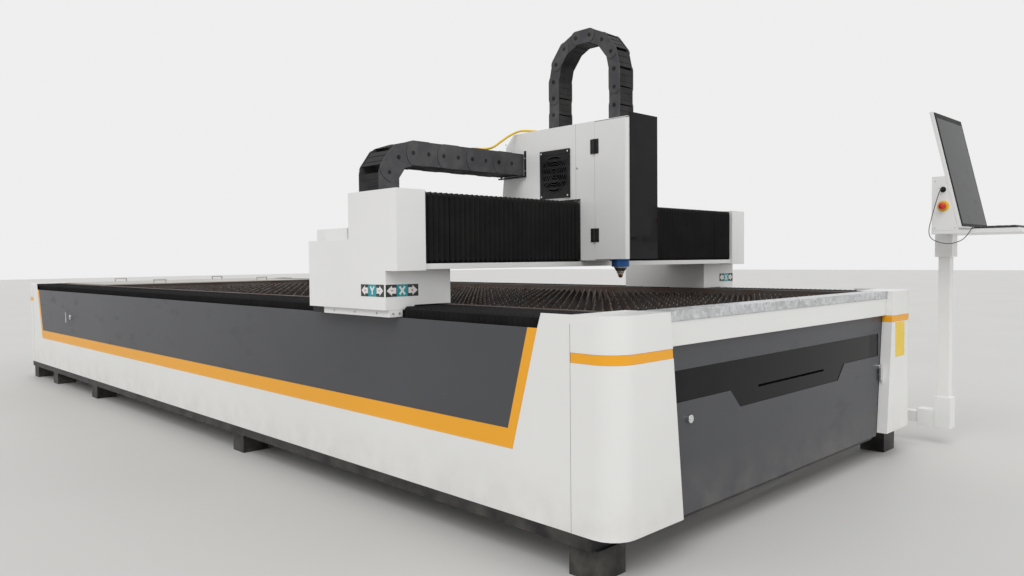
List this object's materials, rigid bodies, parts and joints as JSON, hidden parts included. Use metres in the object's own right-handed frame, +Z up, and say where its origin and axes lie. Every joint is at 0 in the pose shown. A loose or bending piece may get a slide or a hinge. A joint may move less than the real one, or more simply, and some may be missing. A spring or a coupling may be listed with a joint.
{
  "type": "fiber laser cutting machine",
  "caption": "Open flat bed laser cutting machine with a slat table, a travelling gantry, a carriage with a sliding cutting head, bellows, cable chains and a pendant on a column.",
  "frame": {"origin": "centre of the bounding box's bottom face, on the floor under the feet", "axes": "+X across the bed to the machine's right, +Y along the bed away from the front end, +Z up"},
  "size_m": [3.233, 7.8, 2.302],
  "materials": {
    "white_paint": "satin white powder coat",
    "grey_paint": "satin dark grey powder coat",
    "yellow_paint": "satin yellow orange powder coat",
    "black_paint": "satin black paint",
    "gloss_black": "high gloss black acrylic",
    "bellows_cloth": "matte black coated cloth",
    "chain_plastic": "black moulded nylon",
    "bare_steel": "machined steel",
    "dark_steel": "heat stained mild steel",
    "galvanised": "spangled galvanised sheet",
    "chrome_metal": "polished plating",
    "blue_paint": "blue anodised metal",
    "red_plastic": "glossy red plastic",
    "yellow_jacket": "yellow cable jacket",
    "cord_jacket": "thin black cord jacket",
    "key_plastic": "black key caps on a white base"
  },
  "bodies": {
    "bed": {"base_frame": "black_paint", "front_post_left": "white_paint", "front_post_right": "white_paint", "rear_post_left": "white_paint", "rear_post_right": "white_paint", "post_band_left": "yellow_paint", "post_band_right": "yellow_paint", "side_panel_left": "white_paint", "side_panel_right": "white_paint", "side_stripe_left": "yellow_paint", "side_stripe_right": "yellow_paint", "side_cover_left": "grey_paint", "side_cover_right": "grey_paint", "front_crossrail": "white_paint", "front_edge_plate": "galvanised", "rear_panel": "grey_paint", "slat_table": "dark_steel", "scrap_tray": "dark_steel", "rear_deck_left": "white_paint", "rear_deck_right": "white_paint", "y_bellows_front_left": "bellows_cloth", "y_bellows_front_right": "bellows_cloth", "y_bellows_rear_left": "bellows_cloth", "y_bellows_rear_right": "bellows_cloth", "pendant_stand": "white_paint"},
    "side_latch": {"side_latch_left": "chrome_metal"},
    "door": {"front_door": "grey_paint", "front_door_inset": "gloss_black"},
    "cam_lock_body": {"cam_lock": "chrome_metal"},
    "lever_latch_body": {"lever_latch": "chrome_metal"},
    "gantry": {"gantry_saddle_left": "black_paint", "gantry_saddle_right": "black_paint", "gantry_end_left": "white_paint", "gantry_end_right": "white_paint", "gantry_beam": "white_paint", "x_bellows_left": "bellows_cloth", "x_bellows_right": "bellows_cloth", "x_chain_lower": "chain_plastic", "x_chain_upper": "chain_plastic"},
    "x_chain_curve": {"x_chain_bend": "chain_plastic"},
    "carriage": {"carriage_housing": "white_paint", "fan_grille": "black_paint", "carriage_slide": "bare_steel", "z_motor": "black_paint", "z_chain_back": "chain_plastic", "z_chain_front": "chain_plastic", "fibre_cable": "yellow_jacket"},
    "z_chain_curve": {"z_chain_bend": "chain_plastic"},
    "nose": {"nose_cover": "white_paint", "nose_front": "gloss_black"},
    "head": {"z_slide": "bare_steel", "cutting_head": "blue_paint"},
    "pendant_head": {"keyboard_tray": "white_paint", "pendant_box": "white_paint", "monitor_housing": "white_paint", "monitor_screen": "gloss_black", "keyboard": "key_plastic", "usb_plug": "black_paint", "keyboard_cord": "cord_jacket"},
    "estop": {"estop_button": "red_plastic"}
  },
  "joints": [
    {"name": "gantry_travel", "type": "slide", "parent": "bed", "child": "gantry", "axis": [0, 1, 0], "range_m": [-0.72, 4.55], "deforming": ["y_bellows_front_left", "y_bellows_front_right", "y_bellows_rear_left", "y_bellows_rear_right"]},
    {"name": "carriage_travel", "type": "slide", "parent": "gantry", "child": "carriage", "axis": [1, 0, 0], "range_m": [-0.88, 1.1], "deforming": ["x_bellows_left", "x_bellows_right", "x_chain_lower", "x_chain_upper"]},
    {"name": "x_chain_roll", "type": "slide", "parent": "gantry", "child": "x_chain_curve", "axis": [1, 0, 0], "range_m": [-0.44, 0.55]},
    {"name": "head_travel", "type": "slide", "parent": "carriage", "child": "head", "axis": [0, 0, 1], "range_m": [-0.1, 0.05], "deforming": ["z_chain_front", "z_chain_back"]},
    {"name": "z_chain_roll", "type": "slide", "parent": "carriage", "child": "z_chain_curve", "axis": [0, 0, 1], "range_m": [-0.05, 0.025]},
    {"name": "nose_cover_swing", "type": "hinge", "parent": "carriage", "child": "nose", "pos_m": [-0.4505, -2.39, 1.09], "axis": [0, 0, -1], "range_deg": [0, 95]},
    {"name": "front_door_swing", "type": "hinge", "parent": "bed", "child": "door", "pos_m": [-0.2095, -3.328, 0.131], "axis": [1, 0, 0], "range_deg": [0, 90]},
    {"name": "cam_lock_turn", "type": "hinge", "parent": "door", "child": "cam_lock_body", "pos_m": [-1.0505, -3.336, 0.496], "axis": [0, -1, 0], "range_deg": [0, 90]},
    {"name": "lever_latch_turn", "type": "hinge", "parent": "door", "child": "lever_latch_body", "pos_m": [0.7585, -3.336, 0.506], "axis": [0, 1, 0], "range_deg": [0, 90]},
    {"name": "side_latch_turn", "type": "hinge", "parent": "bed", "child": "side_latch", "pos_m": [-1.5485, 2.512, 0.636], "axis": [1, 0, 0], "range_deg": [0, 90]},
    {"name": "pendant_swivel", "type": "hinge", "parent": "bed", "child": "pendant_head", "pos_m": [1.3615, -3.478, 1.085], "axis": [0, 0, 1], "range_deg": [-20, 90]},
    {"name": "estop_press", "type": "slide", "parent": "pendant_head", "child": "estop", "axis": [1, 0, 0], "range_m": [0, 0.005]}
  ],
  "couplings": [
    {"joint": "x_chain_roll", "follows": "carriage_travel", "ratio": 0.5},
    {"joint": "z_chain_roll", "follows": "head_travel", "ratio": 0.5}
  ]
}
